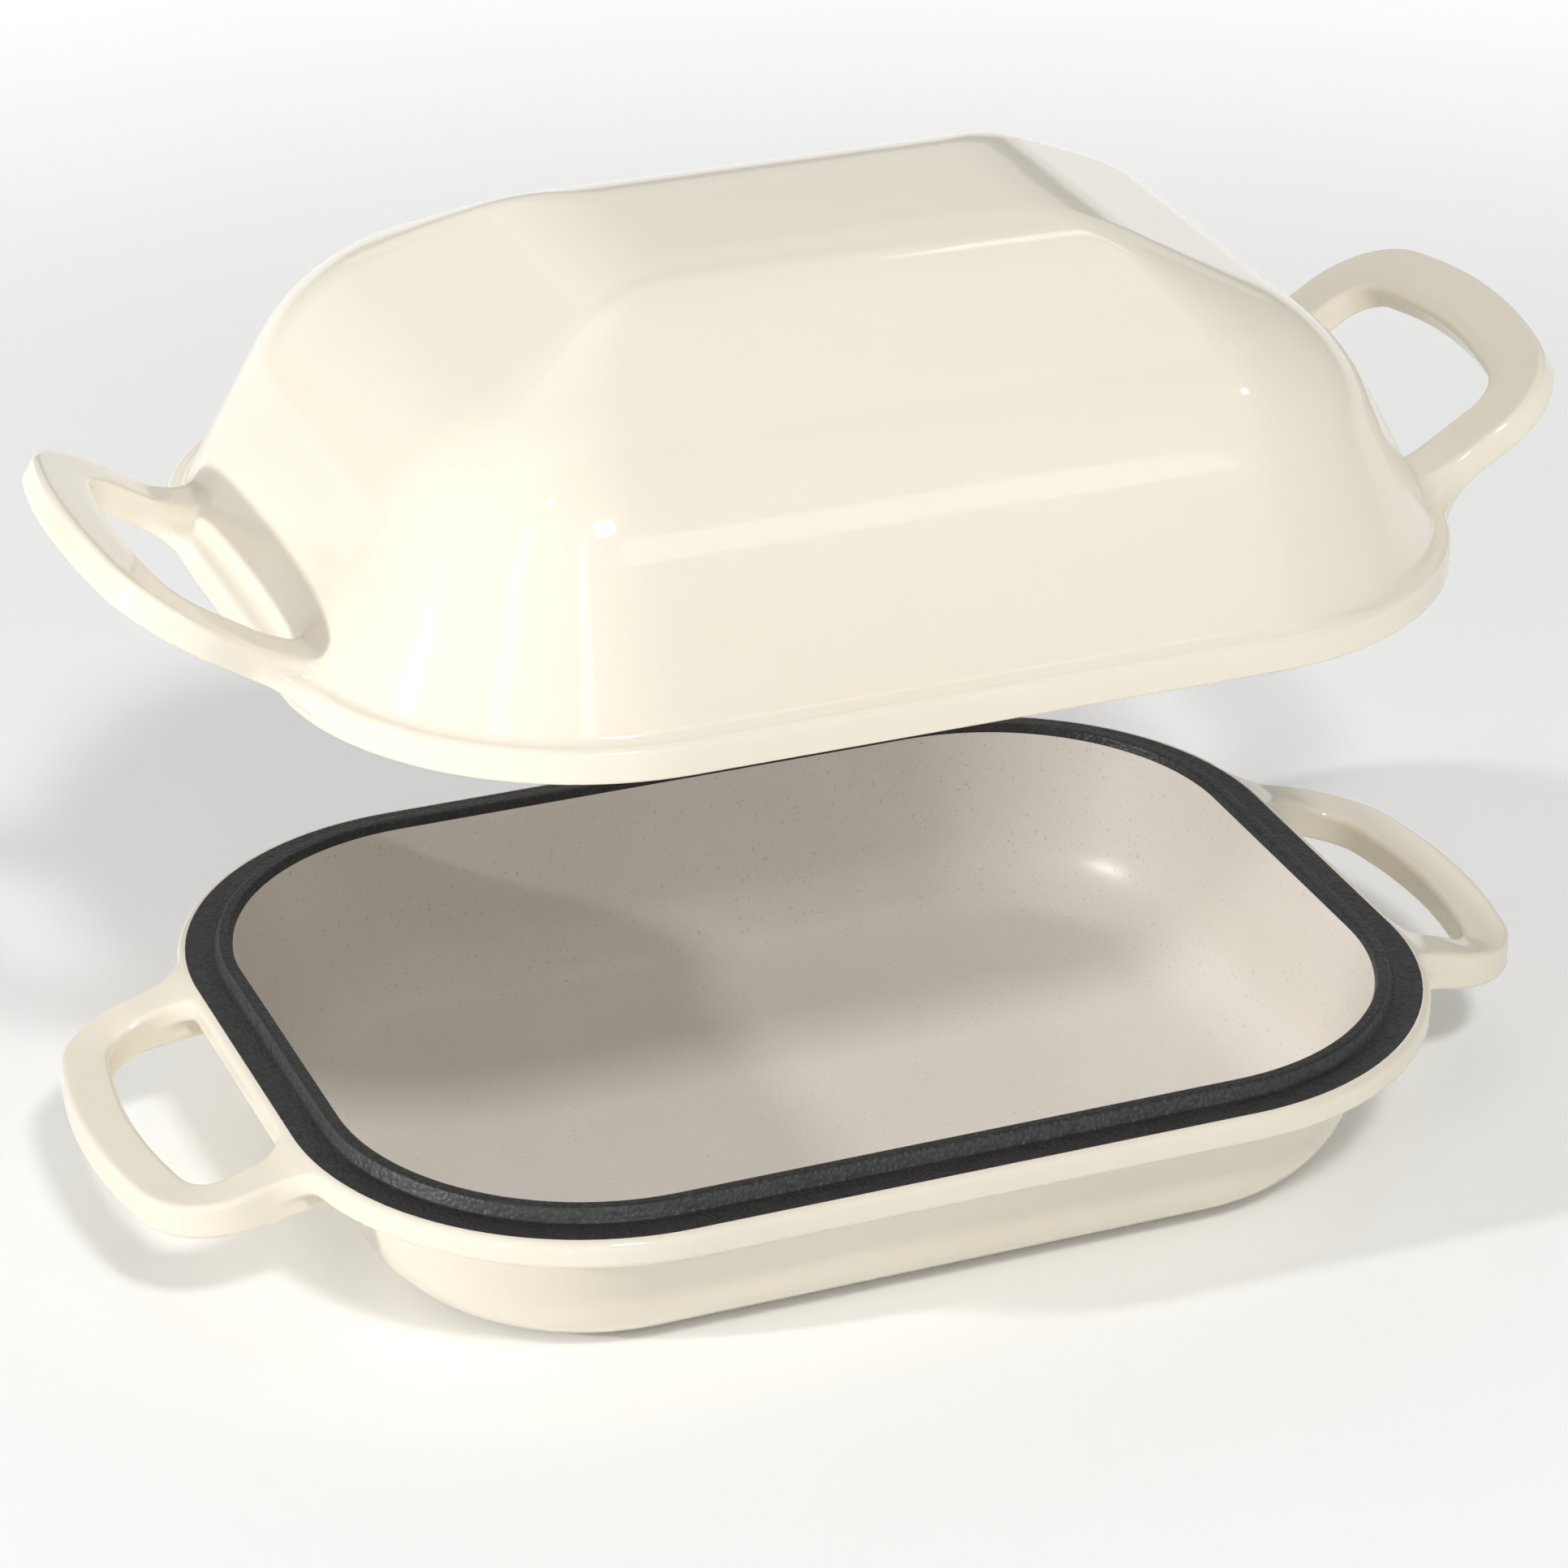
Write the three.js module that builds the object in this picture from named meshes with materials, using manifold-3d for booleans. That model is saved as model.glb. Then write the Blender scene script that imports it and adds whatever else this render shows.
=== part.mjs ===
// Enamelled cast-iron baking oven: a shallow oblong base pan and a tall domed lid.
// Each casting carries two loop handles, one at each short end, and the lid lifts straight off the pan.
// Millimetres, +Z up, +X along the length. The origin is at the centre of the pan's flat underside.

import * as THREE from 'three';
import { mergeVertices } from 'three/addons/utils/BufferGeometryUtils.js';
import Module from 'manifold-3d';

// Rim seat: the flat ledge of the pan that the lid's skirt stands on, measured at its outer edge
const SEAT_HALF_LENGTH = 150;
const SEAT_HALF_WIDTH = 115.5;
const SEAT_CORNER = 76;
const SEAT_HEIGHT = 47;
const SEAT_WIDTH = 7.4;

// Raised lip inside the seat, which centres the lid
const LIP_RISE = 3.6;
const LIP_RUN = 1.4;
const LIP_EDGE_ROUND = 0.7;

// Flange of the pan, outside the seat
const FLANGE_BORDER = 2.2;
const FLANGE_THICKNESS = 7;
const FLANGE_TOP_ROUND = 2.2;
const FLANGE_FOOT_ROUND = 1.2;
const FLANGE_UNDERSIDE_FILLET = 3;

// Wall and floor of the pan
const PAN_WALL_INSET = 10.6;
const PAN_DRAFT = 15;
const PAN_WALL = 3.8;
const PAN_FLOOR = 4.5;
const PAN_BOTTOM_ROUND = 25;
const PAN_FLOOR_ROUND = 20;

// Skirt of the lid, which stands on the seat, and the ledge above it
const LID_CLEARANCE = 0.4;
const SKIRT_HEIGHT = 8.5;
const SKIRT_FOOT_ROUND = 0.8;
const SKIRT_TOP_ROUND = 1.8;
const LEDGE_WIDTH = 4;
const LEDGE_FILLET = 3;

// Dome of the lid: a steep wall, a shoulder, a shallow slope and a flat top
const SHOULDER_INSET = 30;
const SHOULDER_HEIGHT = 60;
const SHOULDER_ROUND = 55;
const TOP_INSET = 83;
const TOP_CORNER = 6;
const TOP_FLAT_INSET = 100;
const LID_HEIGHT = 88;
const TOP_EDGE_ROUND = 55;
const END_SLOPE_RATIO = 1.09;
const CORNER_EASE = 1.5;
const LID_WALL = 3.8;

// How far the lid is held above its seat
const LID_LIFT = 120;

// Outline of all four loop handles, out to the outside of the arms, and the roots of their arms
const LOOP_HALF_WIDTH = 53;
const GRIP_BOW = 9.3;
const GRIP_CORNER = 18.5;
const BAR_EDGE_ROUND = 1.6;
const ROOT_FILLET = 5.5;
const ROOT_RAMP = 30;

// Handles of the pan: level grips below the flange, with arms that rise to it
const PAN_BAR_WIDTH = 12.5;
const PAN_BAR_THICKNESS = 9;
const PAN_HANDLE_REACH = 42.7;
const PAN_HANDLE_DROP = 9.9;
const PAN_ARM_TOP_RISE = 6.5;
const PAN_ARM_FOOT_RISE = 4;

// Handles of the lid: flat loops that slant upwards
const LID_BAR_WIDTH = 15.5;
const LID_BAR_THICKNESS = 8;
const LID_HANDLE_REACH = 49.5;
const LID_HANDLE_RISE = 14.1;
const LID_HANDLE_TILT = 31.8;

// Fineness of the facets
const CORNER_STEPS = 9;
const ROUND_STEPS = 3;
const DOME_STEPS = 7;
const BAR_ROUND_STEPS = 2;
const BEND_STEPS = 6;
const GRIP_STEPS = 8;
const ROOT_STEPS = 5;

const enamel = { color: 0xf2ebdb, roughness: 0.22, metalness: 0 };

const wasm = await Module();
wasm.setup();

const radians = THREE.MathUtils.degToRad;
const panRise = Math.tan(radians(PAN_DRAFT));
const skirtWall = SEAT_WIDTH - 2 * LID_CLEARANCE;

// An open line through the corners, each {x, y, round}, with its rounded corners as arcs
function roundedLine(corners) {
  const points = [];
  corners.forEach(({ x, y, round = 0, steps = ROUND_STEPS }, i) => {
    const corner = new THREE.Vector2(x, y);
    if (round === 0 || i === 0 || i === corners.length - 1) {
      points.push(corner);
      return;
    }
    const back = new THREE.Vector2(corners[i - 1].x, corners[i - 1].y).sub(corner).normalize();
    const ahead = new THREE.Vector2(corners[i + 1].x, corners[i + 1].y).sub(corner).normalize();
    const half = Math.acos(THREE.MathUtils.clamp(back.dot(ahead), -1, 1)) / 2;
    const centre = back.clone().add(ahead).setLength(round / Math.sin(half)).add(corner);
    const start = back.clone().multiplyScalar(round / Math.tan(half)).add(corner).sub(centre);
    const turn = Math.sign(back.cross(ahead)) * (2 * half - Math.PI);
    for (let k = 0; k <= steps; k += 1) {
      points.push(start.clone().rotateAround(new THREE.Vector2(), (turn * k) / steps).add(centre));
    }
  });
  return points;
}

// A rounded rectangle about the origin, counter-clockwise
function roundedRectangle(halfLength, halfWidth, corner, steps) {
  const points = [];
  const signs = [[1, 1], [-1, 1], [-1, -1], [1, -1]];
  signs.forEach(([sx, sy], quarter) => {
    for (let k = 0; k <= steps; k += 1) {
      const angle = (quarter + k / steps) * (Math.PI / 2);
      points.push(new THREE.Vector2(
        sx * (halfLength - corner) + corner * Math.cos(angle),
        sy * (halfWidth - corner) + corner * Math.sin(angle),
      ));
    }
  });
  return points;
}

// A closed skin over a row of rings with equal counts of points, with a fan over each end
function loft(rings) {
  const count = rings[0].length;
  const positions = rings.flat().flatMap((point) => point.toArray());
  const index = [];
  for (let i = 0; i < rings.length - 1; i += 1) {
    for (let j = 0; j < count; j += 1) {
      const a = i * count + j;
      const b = i * count + ((j + 1) % count);
      index.push(a, b, b + count, a, b + count, a + count);
    }
  }
  [0, rings.length - 1].forEach((end) => {
    const centre = rings[end].reduce((sum, point) => sum.add(point), new THREE.Vector3());
    const hub = positions.length / 3;
    positions.push(...centre.divideScalar(count).toArray());
    for (let j = 0; j < count; j += 1) {
      const a = end * count + j;
      const b = end * count + ((j + 1) % count);
      index.push(hub, ...(end === 0 ? [b, a] : [a, b]));
    }
  });
  const geometry = new THREE.BufferGeometry();
  geometry.setAttribute('position', new THREE.Float32BufferAttribute(positions, 3));
  geometry.setIndex(index);
  return geometry;
}

function toSolid(geometry) {
  const bare = geometry.clone();
  bare.deleteAttribute('normal');
  bare.deleteAttribute('uv');
  const merged = mergeVertices(bare, 1e-4);
  return new wasm.Manifold(new wasm.Mesh({
    numProp: 3,
    vertProperties: Float32Array.from(merged.attributes.position.array),
    triVerts: Uint32Array.from(merged.index.array),
  }));
}

function toGeometry(solid) {
  const mesh = solid.getMesh();
  const geometry = new THREE.BufferGeometry();
  geometry.setAttribute('position', new THREE.BufferAttribute(mesh.vertProperties, 3));
  geometry.setIndex(new THREE.BufferAttribute(mesh.triVerts, 1));
  geometry.computeVertexNormals();
  return geometry;
}

// Rings of the pan: the seat's outline drawn in by the profile's inset (x) at its height (y)
function panRings(profile) {
  return profile.map(({ x: inset, y: height }) => (
    roundedRectangle(
      SEAT_HALF_LENGTH - inset,
      SEAT_HALF_WIDTH - inset,
      SEAT_CORNER - inset,
      CORNER_STEPS,
    ).map((point) => new THREE.Vector3(point.x, point.y, height))
  ));
}

// Rings of the lid: the skirt follows the seat's outline. Above it the ends draw in faster than
// the sides, and the corners ease down to the top's.
function lidRings(profile) {
  return profile.map(({ x: inset, y: height }) => {
    const edge = LID_CLEARANCE + Math.min(inset, skirtWall);
    const drawn = Math.max(inset - skirtWall, 0);
    const left = Math.max(0, 1 - drawn / (TOP_INSET - skirtWall));
    return roundedRectangle(
      SEAT_HALF_LENGTH - edge - drawn * END_SLOPE_RATIO,
      SEAT_HALF_WIDTH - edge - drawn,
      TOP_CORNER + (SEAT_CORNER - edge - TOP_CORNER) * left ** CORNER_EASE,
      CORNER_STEPS,
    ).map((point) => new THREE.Vector3(point.x, point.y, height));
  });
}

// A loop handle lying in the XY plane, the upper face of its grip at z = 0, springing from the line
// x = 0. Both arms run on behind the line into the wall. Towards it their upper and lower faces rise,
// and close to it their sides flare, at the top or at the foot, round the corner of the casting.
function loopHandle({ reach, width, thickness, bury, topRise, footRise, flaresAtTop, corner }) {
  const side = LOOP_HALF_WIDTH - width / 2;
  const tip = reach - width / 2;
  const bend = tip - GRIP_BOW;
  const bow = (side - GRIP_CORNER) / Math.tan(Math.atan2(GRIP_BOW, side));
  const arm = [-bury];
  for (let k = 0; k <= ROOT_STEPS; k += 1) {
    arm.push(ROOT_FILLET * (1 - Math.cos((k / ROOT_STEPS) * (Math.PI / 2))));
  }
  const path = roundedLine([
    ...arm.map((x) => ({ x, y: side })),
    { x: bend, y: side, round: GRIP_CORNER, steps: BEND_STEPS },
    { x: tip, y: 0, round: bow, steps: GRIP_STEPS },
    { x: bend, y: -side, round: GRIP_CORNER, steps: BEND_STEPS },
    ...arm.toReversed().map((x) => ({ x, y: -side })),
  ]);
  const recess = (y) => {
    const past = Math.max(Math.abs(y) - (SEAT_HALF_WIDTH - SEAT_CORNER), 0);
    return corner - Math.sqrt(corner ** 2 - past ** 2);
  };
  const rings = path.map((point, i) => {
    const before = path[Math.max(i - 1, 0)];
    const after = path[Math.min(i + 1, path.length - 1)];
    const across = after.clone().sub(before).normalize().rotateAround(new THREE.Vector2(), Math.PI / 2);
    const near = THREE.MathUtils.clamp(1 - point.x / ROOT_FILLET, 0, 1);
    const flare = ROOT_FILLET * (1 - Math.sqrt(1 - near ** 2));
    const ramp = 1 - THREE.MathUtils.smoothstep(point.x, 0, ROOT_RAMP);
    const foot = footRise * ramp - thickness;
    const height = topRise * ramp - foot;
    const section = roundedRectangle(width / 2, height / 2, BAR_EDGE_ROUND, BAR_ROUND_STEPS);
    return section.map((spot) => {
      const level = spot.y / height + 1 / 2;
      const share = flaresAtTop ? level : 1 - level;
      const out = spot.x + Math.sign(spot.x) * flare * share ** 2;
      const y = point.y + across.y * out;
      return new THREE.Vector3(
        point.x + across.x * out - recess(y) * near,
        y,
        foot + level * height,
      );
    });
  });
  return loft(rings);
}

// A casting joined with the same handle at both of its ends
function withHandles(casting, handle, place) {
  return [0, Math.PI].reduce((joined, turn) => {
    const end = new THREE.Matrix4().makeRotationZ(turn).multiply(place);
    return joined.add(toSolid(handle.clone().applyMatrix4(end)));
  }, casting);
}

// The pan: a cup with a flange, a seat and a lip, and a handle at each end just below the flange
function basePan() {
  const flangeFoot = SEAT_HEIGHT - FLANGE_THICKNESS;
  const lipTop = SEAT_HEIGHT + LIP_RISE;
  const bottomInset = PAN_WALL_INSET + flangeFoot * panRise;
  const wallAcross = PAN_WALL / Math.cos(radians(PAN_DRAFT));
  const innerInset = (height) => PAN_WALL_INSET + wallAcross + (flangeFoot - height) * panRise;
  const outside = roundedLine([
    { x: bottomInset + PAN_BOTTOM_ROUND, y: 0 },
    { x: bottomInset, y: 0, round: PAN_BOTTOM_ROUND, steps: DOME_STEPS },
    { x: PAN_WALL_INSET, y: flangeFoot, round: FLANGE_UNDERSIDE_FILLET },
    { x: -FLANGE_BORDER, y: flangeFoot, round: FLANGE_FOOT_ROUND },
    { x: -FLANGE_BORDER, y: SEAT_HEIGHT, round: FLANGE_TOP_ROUND },
    { x: SEAT_WIDTH, y: SEAT_HEIGHT },
    { x: SEAT_WIDTH + LIP_RUN, y: lipTop, round: LIP_EDGE_ROUND },
    { x: innerInset(lipTop) + PAN_WALL, y: lipTop },
  ]);
  const mouth = lipTop + LIP_RISE;
  const inside = roundedLine([
    { x: innerInset(PAN_FLOOR) + PAN_FLOOR_ROUND, y: PAN_FLOOR },
    { x: innerInset(PAN_FLOOR), y: PAN_FLOOR, round: PAN_FLOOR_ROUND, steps: DOME_STEPS },
    { x: innerInset(mouth), y: mouth },
  ]);
  const handle = loopHandle({
    reach: PAN_HANDLE_REACH,
    width: PAN_BAR_WIDTH,
    thickness: PAN_BAR_THICKNESS,
    bury: FLANGE_BORDER + PAN_WALL_INSET + PAN_WALL,
    topRise: PAN_ARM_TOP_RISE,
    footRise: PAN_ARM_FOOT_RISE,
    flaresAtTop: true,
    corner: SEAT_CORNER + FLANGE_BORDER,
  });
  const place = new THREE.Matrix4().makeTranslation(
    SEAT_HALF_LENGTH + FLANGE_BORDER,
    0,
    SEAT_HEIGHT - PAN_HANDLE_DROP,
  );
  const cup = withHandles(toSolid(loft(panRings(outside))), handle, place);
  return toGeometry(cup.subtract(toSolid(loft(panRings(inside)))));
}

// The corners moved sideways by a distance, towards greater inset, so that each side stays parallel
function drawnIn(corners, distance) {
  const normals = corners.slice(1).map((end, i) => (
    new THREE.Vector2(end.y - corners[i].y, corners[i].x - end.x).normalize()
  ));
  return corners.map(({ x, y, round, steps }, i) => {
    const before = normals[Math.max(i - 1, 0)];
    const after = normals[Math.min(i, normals.length - 1)];
    const shift = before.clone().add(after).multiplyScalar(distance / (1 + before.dot(after)));
    return { x: x + shift.x, y: y + shift.y, round: round && round - distance, steps };
  });
}

// The lid: a dome on a skirt, with a handle at each end that tilts up and away from the pan's
function lid() {
  const dome = [
    { x: LEDGE_WIDTH, y: SKIRT_HEIGHT },
    { x: SHOULDER_INSET, y: SHOULDER_HEIGHT, round: SHOULDER_ROUND, steps: DOME_STEPS },
    { x: TOP_INSET, y: LID_HEIGHT, round: TOP_EDGE_ROUND, steps: DOME_STEPS },
    { x: TOP_FLAT_INSET, y: LID_HEIGHT },
  ];
  const [foot, ...crown] = dome;
  const outside = roundedLine([
    { x: skirtWall, y: 0 },
    { x: 0, y: 0, round: SKIRT_FOOT_ROUND },
    { x: 0, y: SKIRT_HEIGHT, round: SKIRT_TOP_ROUND },
    { ...foot, round: LEDGE_FILLET },
    ...crown,
  ]);
  const [innerFoot, ...innerCrown] = drawnIn(dome, LID_WALL);
  const lean = (innerCrown[0].x - innerFoot.x) / (innerCrown[0].y - innerFoot.y);
  const inside = roundedLine([
    { x: skirtWall, y: -SKIRT_HEIGHT },
    { x: skirtWall, y: innerFoot.y - (innerFoot.x - skirtWall) / lean },
    ...innerCrown,
  ]);
  const tilt = radians(LID_HANDLE_TILT);
  const handle = loopHandle({
    reach: LID_HANDLE_REACH,
    width: LID_BAR_WIDTH,
    thickness: LID_BAR_THICKNESS,
    bury: LEDGE_WIDTH + LID_WALL,
    topRise: 0,
    footRise: 0,
    flaresAtTop: false,
    corner: SEAT_CORNER - LID_CLEARANCE,
  });
  const place = new THREE.Matrix4()
    .makeTranslation(SEAT_HALF_LENGTH - LID_CLEARANCE, 0, LID_HANDLE_RISE)
    .multiply(new THREE.Matrix4().makeRotationY(-tilt));
  const belowSkirt = new THREE.BoxGeometry(4 * SEAT_HALF_LENGTH, 4 * SEAT_HALF_WIDTH, 2 * LID_HEIGHT);
  belowSkirt.translate(0, 0, -LID_HEIGHT);
  const cap = withHandles(toSolid(loft(lidRings(outside))), handle, place);
  return toGeometry(cap.subtract(toSolid(loft(lidRings(inside)))).subtract(toSolid(belowSkirt)));
}

function piece(name, geometry) {
  const mesh = new THREE.Mesh(geometry, new THREE.MeshStandardMaterial(enamel));
  mesh.name = name;
  return mesh;
}

const bakingOven = new THREE.Group();
const lidPiece = piece('lid', lid());
lidPiece.position.z = SEAT_HEIGHT + LID_LIFT;
bakingOven.add(piece('base_pan', basePan()), lidPiece);

export default bakingOven;
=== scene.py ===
import math

import bmesh
import bpy
import numpy as np
from mathutils import Matrix, Vector


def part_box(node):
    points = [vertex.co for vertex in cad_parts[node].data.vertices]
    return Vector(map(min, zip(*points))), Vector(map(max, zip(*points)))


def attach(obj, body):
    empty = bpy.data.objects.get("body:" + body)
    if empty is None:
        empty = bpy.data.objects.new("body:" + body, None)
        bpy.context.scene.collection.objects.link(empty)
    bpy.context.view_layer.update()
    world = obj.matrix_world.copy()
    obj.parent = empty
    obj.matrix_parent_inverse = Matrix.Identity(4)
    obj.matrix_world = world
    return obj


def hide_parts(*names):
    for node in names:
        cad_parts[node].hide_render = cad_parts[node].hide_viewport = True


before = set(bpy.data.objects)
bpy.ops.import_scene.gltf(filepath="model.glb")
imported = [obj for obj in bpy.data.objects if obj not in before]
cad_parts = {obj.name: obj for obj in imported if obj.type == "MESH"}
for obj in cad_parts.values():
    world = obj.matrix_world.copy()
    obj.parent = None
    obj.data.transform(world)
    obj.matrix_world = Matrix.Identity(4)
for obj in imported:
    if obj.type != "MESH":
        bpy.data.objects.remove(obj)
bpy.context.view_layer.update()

bl_info = {
    "name": "Enamelled baking oven",
    "version": (1, 0, 0),
    "blender": (4, 5, 0),
    "location": "View3D > Sidebar > Baking oven",
    "description": "Dresses the two castings of an oblong baking oven in enamel on a studio floor",
    "category": "Object",
}

MM = 0.001
WELD = 0.000004
SAME_SHARE, SAME_PLACE = 1e-6, 1e-7
CREAM, RIM, INSIDE, STEP = 0, 1, 2, 3
lid_low, lid_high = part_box("lid")

# Cells round a quarter of a casting: up to the arm, at the arm, round the corner, and along the side.
END_CELLS, ARM_CELLS, CORNER_CELLS, SIDE_CELLS = 6, 16, 22, 11

# How far apart the rows lie on the straights, and how near to the arcs the first of them lies.
OUTSIDE_ROWS = {"stretch": 4 * MM, "hold": 0.5 * MM}
INSIDE_ROWS = {"stretch": 5 * MM, "hold": 0.5 * MM}
RIM_ROWS = {"stretch": 2.5 * MM, "hold": 0.3 * MM}

# A handle's bar: steps round each bend, round the bow and on half of a rounded edge.
BEND_STEPS, BOW_STEPS, EDGE_STEPS = 14, 16, 3
BAR_STRETCH = 2.5 * MM

# An arm's root: its rings, how often they are eased, the gap past the fillet where the plain bar starts,
# how far the hole reaches past the arm's faces, and how strongly the fillet is drawn out, up to a limit.
ROOT_STEPS, ROOT_ROUNDS = 9, 10
ROOT_GAP = 2 * MM
PAN_MARGIN, LID_MARGIN = 1.5 * MM, 1 * MM
ROOT_PULL, ROOT_LIMIT = 1.6, 1.1


def length(name, description, millimetres):
    """A size that is given in millimetres and kept in metres."""
    return bpy.props.FloatProperty(
        name=name, description=description, default=millimetres * MM, unit="LENGTH", precision=5
    )


def angle(name, description, degrees):
    """An angle that is given in degrees and kept in radians."""
    return bpy.props.FloatProperty(
        name=name, description=description, default=math.radians(degrees), subtype="ANGLE"
    )


def number(name, description, value):
    """A plain number."""
    return bpy.props.FloatProperty(name=name, description=description, default=value)


def colour(name, description, value):
    """A linear colour."""
    return bpy.props.FloatVectorProperty(
        name=name, description=description, default=value, subtype="COLOR", min=0, max=1
    )


class RimSizes(bpy.types.PropertyGroup):
    """The seat that both castings share."""

    half_length: length("Half length", "From the middle to the seat's outer edge, along the length", 150)
    half_width: length("Half width", "From the middle to the seat's outer edge, across", 115.5)
    corner: length("Corner", "Radius of the seat's outer edge at its corners", 76)
    seat_height: length("Seat height", "Height of the seat above the table", 47)
    seat_width: length("Seat width", "Width of the flat ring that the lid stands on", 7.4)
    clearance: length("Clearance", "Play between the lid's skirt and the seat", 0.4)
    lip_rise: length("Lip rise", "Height of the raised lip above the seat", 3.6)
    lip_run: length("Lip run", "How far the step of the lip leans inwards", 1.4)
    lip_edge: length("Lip edge", "Rounding of the lip's upper edges", 0.8)
    lip_fillet: length("Lip fillet", "Fillet between the seat and the lip's step", 0.6)


class PanSizes(bpy.types.PropertyGroup):
    """The base pan."""

    border: length("Border", "How far the flange stands out past the seat", 2.2)
    flange: length("Flange", "Thickness of the flange", 7)
    foot_round: length("Flange foot", "Rounding of the flange's lower edge", 1.2)
    underside_fillet: length("Underside fillet", "Fillet between the wall and the flange", 3)
    wall_inset: length("Wall inset", "From the seat's outer edge to the wall, below the flange", 10.6)
    draft: angle("Draft", "Slope of the wall", 15)
    wall: length("Wall", "Thickness of the wall", 3.8)
    floor: length("Floor", "Thickness of the floor", 4.5)
    bottom_round: length("Bottom round", "Rounding between the wall and the underside", 25)
    floor_round: length("Floor round", "Rounding between the wall and the floor, inside", 20)
    reach: length("Handle reach", "From the flange to the outside of the grip", 42.7)
    drop: length("Handle drop", "From the seat down to the top of the grip", 9.9)
    bar_width: length("Bar width", "Width of the handle's bar, seen from above", 12.5)
    bar_thickness: length("Bar thickness", "Thickness of the handle's bar", 9)
    top_rise: length("Arm top rise", "How far the arms' upper face rises to the flange", 6.5)
    foot_rise: length("Arm foot rise", "How far the arms' lower face rises to the wall", 4)
    flare: length("Arm flare", "How far an arm's outer side flares where it joins the flange", 5.5)


class LidSizes(bpy.types.PropertyGroup):
    """The domed lid."""

    level: length("Level", "Height of the lid's foot above the table", lid_low.z / MM)
    height: length("Height", "From the lid's foot to its flat top", (lid_high.z - lid_low.z) / MM)
    skirt: length("Skirt", "Height of the upright skirt", 8.5)
    foot_round: length("Foot round", "Rounding of the skirt's foot", 0.8)
    skirt_round: length("Skirt round", "Rounding of the skirt's upper edge", 1.8)
    ledge: length("Ledge", "Width of the ledge between the skirt and the dome", 4)
    ledge_fillet: length("Ledge fillet", "Fillet at the foot of the dome", 3)
    inner_fillet: length("Inner fillet", "Rounding inside, where the skirt runs into the dome", 3)
    shoulder_inset: length("Shoulder inset", "From the skirt to the shoulder", 30)
    shoulder_height: length("Shoulder height", "Height of the shoulder above the foot", 60)
    shoulder_round: length("Shoulder round", "Rounding of the shoulder", 55)
    top_inset: length("Top inset", "From the skirt to the edge of the flat top", 83)
    top_round: length("Top round", "Rounding of the flat top's edge", 55)
    top_corner: length("Top corner", "Corner radius of the flat top", 6)
    flat_inset: length("Flat inset", "From the skirt to where the top is flat for certain", 100)
    end_slope: number("End slope", "How much faster the ends draw in than the sides", 1.09)
    corner_ease: number("Corner ease", "How late the corners tighten towards the top", 1.5)
    wall: length("Wall", "Thickness of the wall", 3.8)
    reach: length("Handle reach", "From the skirt to the outside of the grip, along the slant", 49.5)
    rise: length("Handle rise", "From the lid's foot to the handle's upper face, at the skirt", 14.1)
    tilt: angle("Handle tilt", "How steeply the handle rises", 31.8)
    bar_width: length("Bar width", "Width of the handle's bar, seen along its thickness", 15.5)
    bar_thickness: length("Bar thickness", "Thickness of the handle's bar", 8)
    top_rise: length("Arm top rise", "How far the arms' upper face rises to the dome", 0)
    foot_rise: length("Arm foot rise", "How far the arms' lower face rises to the skirt", 0)
    flare: length("Arm flare", "How far an arm's outer side flares where it joins the skirt", 12)


class HandleSizes(bpy.types.PropertyGroup):
    """The outline and the roots of all four loop handles."""

    bar_edge: length("Bar edge", "Rounding of the bar's edges", 1.6)
    bow: length("Bow", "How far the grip bows outwards in its middle", 9.3)
    bend: length("Bend", "Radius of the bar's middle line at the two bends", 18.5)
    half_width: length("Half width", "From the middle to the outside of an arm", 53)
    fillet: length("Root fillet", "How far an arm flares where it joins the casting", 5.5)
    ramp: length("Ramp", "Length of the arms over which their faces rise", 30)


class EnamelColours(bpy.types.PropertyGroup):
    """The finishes."""

    cream: colour("Cream", "Gloss enamel of the outside", (0.850, 0.793, 0.668))
    thick_cream: colour("Thick cream", "Where the gloss enamel has run thicker", (0.815, 0.745, 0.605))
    rim: colour("Rim", "Matt enamel of the seat and the lip", (0.0145, 0.0145, 0.015))
    # The step's colour is lighter than the rim's. This is painted light: it stands in for the light that
    # the leaning step catches.
    step: colour("Step", "Matt enamel of the leaning step, where the lid rubs it", (0.034, 0.034, 0.035))
    inside: colour("Inside", "Pale enamel of the inside", (0.800, 0.752, 0.684))
    floor: colour("Floor", "The studio floor", (0.95, 0.95, 0.945))


def arithmetic(operation):
    """The method for an operator, and its reflected form."""

    def plain(self, other):
        return self.board.sum(operation, self, other)

    def reflected(self, other):
        return self.board.sum(operation, other, self)

    return plain, reflected


class Wire:
    """A node's output that takes part in sums."""

    def __init__(self, board, socket):
        self.board = board
        self.socket = socket

    __add__, __radd__ = arithmetic("ADD")
    __sub__, __rsub__ = arithmetic("SUBTRACT")
    __mul__, __rmul__ = arithmetic("MULTIPLY")
    __truediv__, __rtruediv__ = arithmetic("DIVIDE")
    __pow__, __rpow__ = arithmetic("POWER")


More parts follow.
